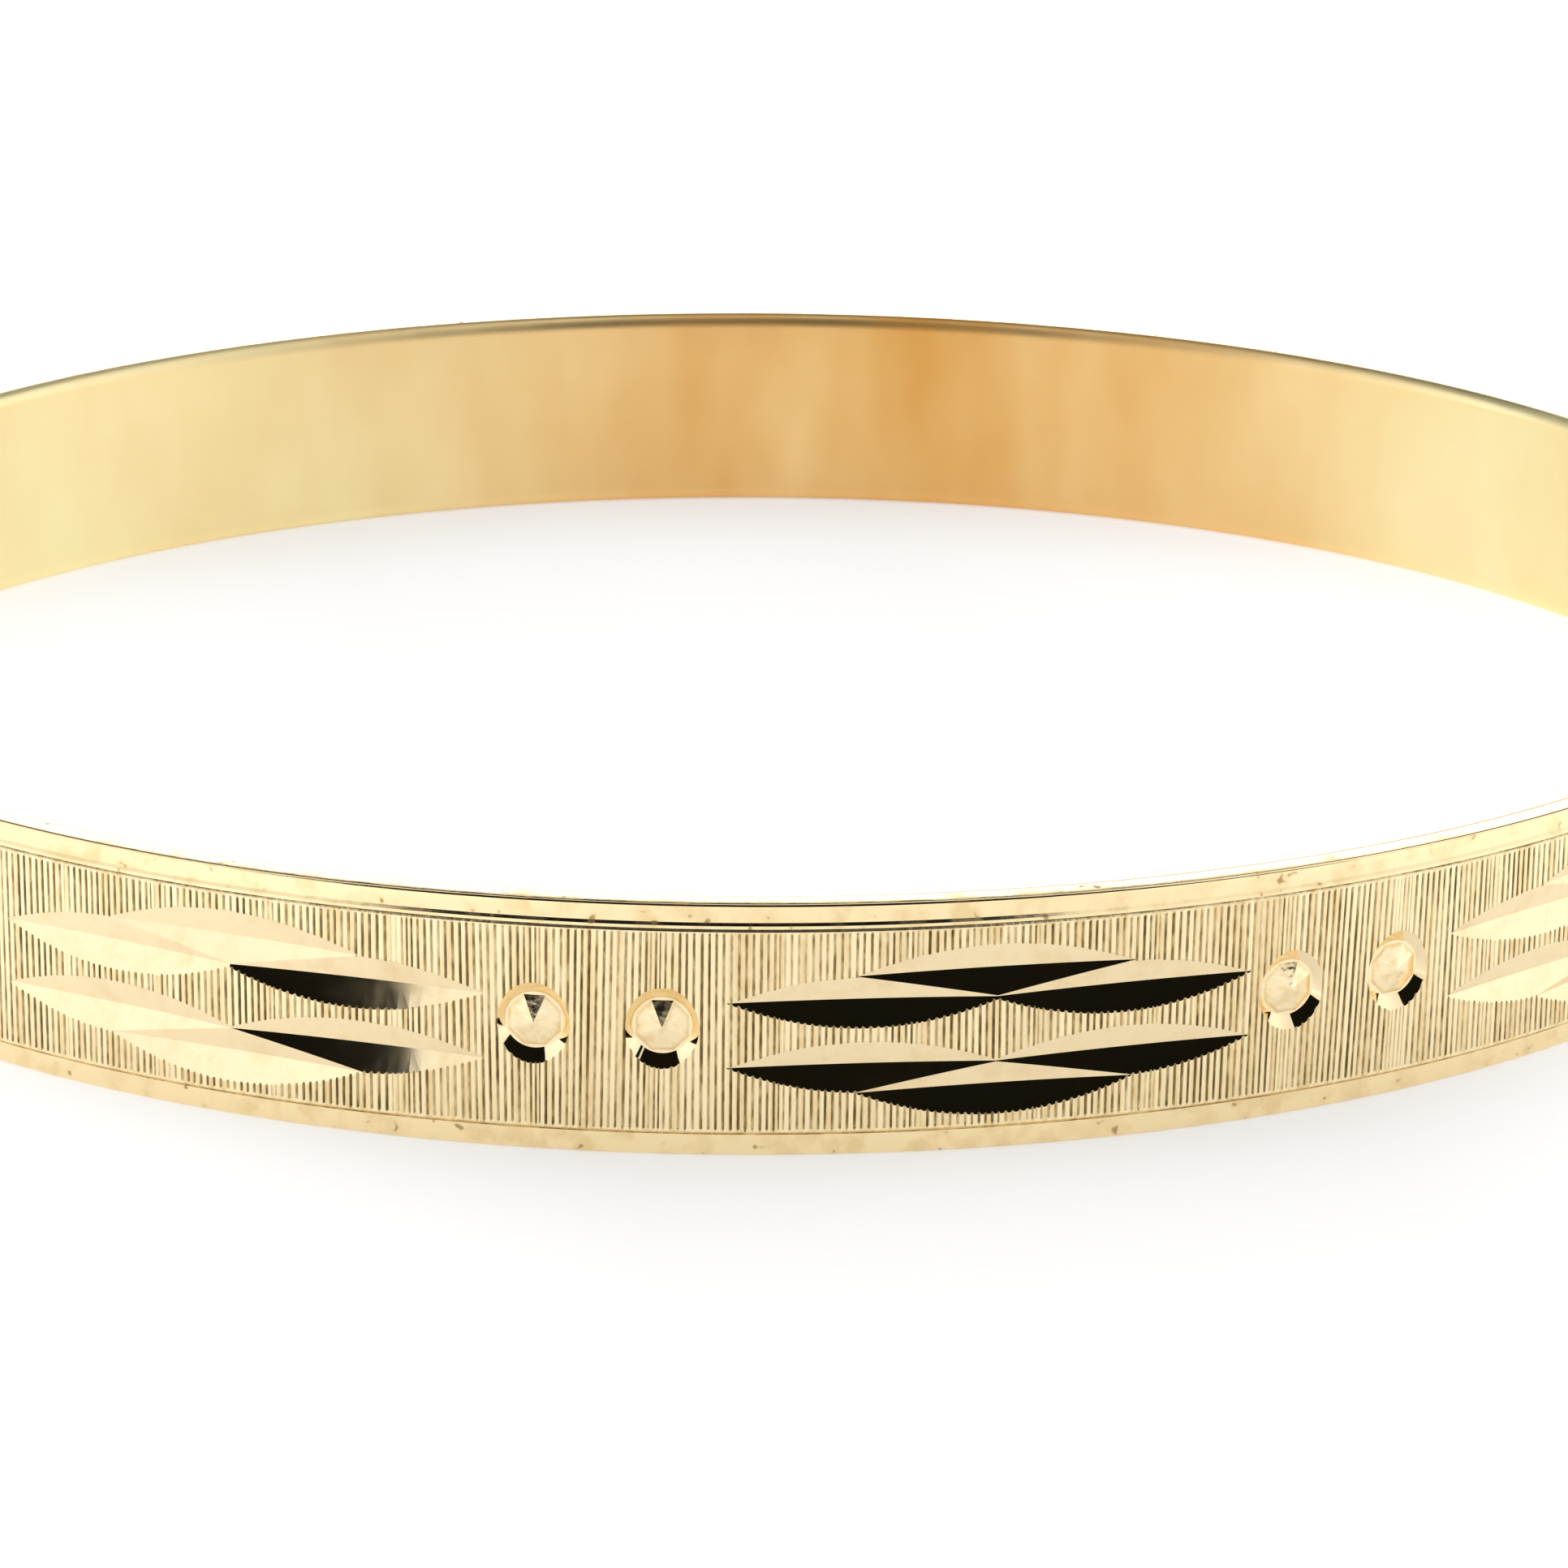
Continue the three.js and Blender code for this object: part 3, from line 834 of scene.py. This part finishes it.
def layTable():
    half = studio["tableHalf"]
    mesh = bpy.data.meshes.new("table")
    corners = [(-half, -half, 0), (half, -half, 0), (half, half, 0), (-half, half, 0)]
    mesh.from_pydata(corners, [], [(0, 1, 2, 3)])
    made = bpy.data.objects.new("table", mesh)
    bpy.context.collection.objects.link(made)
    finish = bpy.data.materials.new("paleTable")
    finish.use_nodes = True
    shader = finish.node_tree.nodes["Principled BSDF"]
    tone = studio["tableTone"]
    shader.inputs["Base Color"].default_value = (tone, tone, tone, 1)
    shader.inputs["Emission Strength"].default_value = 1.0
    shader.inputs["Roughness"].default_value = 0.9
    shader.inputs["Specular IOR Level"].default_value = 0.1
    start = Lead(finish.node_tree)
    across = start.node("ShaderNodeSeparateXYZ", inputs={0: placeOf(start)}, out=0)
    # painted pool of light: the table's glow rises away from the middle
    paintedPool = (across * across).between(studio["poolStart"] ** 2, studio["poolFull"] ** 2)
    glow = paintedPool.tint((studio["tableGlow"],) * 3 + (1,), (studio["tableSideGlow"],) * 3 + (1,))
    finish.node_tree.links.new(glow.socket, shader.inputs["Emission Color"])
    mesh.materials.append(finish)
    made.location.z = -studio["tableGap"]


def hangCard(name, left, right, low, high):  # black, and seen in reflections only
    steps = studio["cardSteps"]
    points, faces = [], []
    for i in range(steps + 1):
        turn = math.radians(left + (right - left) * i / steps)
        for j in range(steps + 1):
            rise = math.radians(low + (high - low) * j / steps)
            flat = math.cos(rise)
            aim = Vector((math.sin(turn) * flat, -math.cos(turn) * flat, math.sin(rise)))
            points.append(aim * studio["cardDistance"])
    for i in range(steps):
        for j in range(steps):
            a = i * (steps + 1) + j
            faces.append((a, a + steps + 1, a + steps + 2, a + 1))
    mesh = bpy.data.meshes.new(name)
    mesh.from_pydata(points, [], faces)
    made = bpy.data.objects.new(name, mesh)
    bpy.context.collection.objects.link(made)
    finish = bpy.data.materials.new(name)
    finish.use_nodes = True
    shader = finish.node_tree.nodes["Principled BSDF"]
    shader.inputs["Base Color"].default_value = studio["cardTone"]
    shader.inputs["Roughness"].default_value = 1.0
    shader.inputs["Specular IOR Level"].default_value = 0.0
    mesh.materials.append(finish)
    made.visible_camera = False
    made.visible_shadow = False
    made.visible_diffuse = False


def lightStudio():
    world = bpy.data.worlds.new("tent")
    bpy.context.scene.world = world
    world.use_nodes = True
    sky = world.node_tree.nodes["Background"]
    sky.inputs["Strength"].default_value = 1.0
    start = Lead(world.node_tree)
    heading = start.node("ShaderNodeTexCoord", out=0)
    across = start.node("ShaderNodeSeparateXYZ", inputs={0: heading}, out=0)
    behind = start.node("ShaderNodeSeparateXYZ", inputs={0: heading}, out=1)
    rise = start.node("ShaderNodeSeparateXYZ", inputs={0: heading}, out=2)
    back = behind.between(*studio["backTurn"]) * (1 - rise.between(*studio["backRise"]))
    sides = (across * across).between(*studio["sideTurn"])
    light = back * studio["backLight"] + (sides * studio["sideLight"] + studio["tentLight"])
    world.node_tree.links.new(light.socket, sky.inputs["Color"])


camera = {
    "focal": 122.81,      # mm
    "sensor": 36,
    "distance": 24.2716,  # the lengths here are in band heights, the angles in radians
    "down": 0.3354,
    "round": 0.2105,
    "roll": 0.0159,
    "aimX": 0.1273,
    "aimZ": -0.0925,
    "nearest": 0.01,
    "farthest": 10,
}


def placeCamera():
    down, turned, roll = camera["down"], camera["round"], camera["roll"]
    ahead = Vector((math.sin(turned) * math.cos(down), math.cos(turned) * math.cos(down), -math.sin(down)))
    right = Vector((math.cos(turned), -math.sin(turned), 0))
    up = right.cross(ahead)
    x = math.cos(roll) * right + math.sin(roll) * up
    y = -math.sin(roll) * right + math.cos(roll) * up
    data = bpy.data.cameras.new("camera")
    made = bpy.data.objects.new("camera", data)
    bpy.context.collection.objects.link(made)
    data.lens = camera["focal"]
    data.sensor_width = camera["sensor"]
    data.clip_start = camera["nearest"]
    data.clip_end = camera["farthest"]
    turn = Matrix((x, y, -ahead)).transposed()
    aim = Vector((camera["aimX"], 0, camera["aimZ"])) * band["height"]
    made.matrix_world = Matrix.Translation(aim - ahead * camera["distance"] * band["height"]) @ turn.to_4x4()
    bpy.context.scene.camera = made


layTable()
for name, place in studio["cards"].items():
    hangCard(name, *place)
lightStudio()
placeCamera()
scene = bpy.context.scene
scene.view_settings.view_transform = "Standard"
scene.view_settings.look = "None"
print("studio ready")
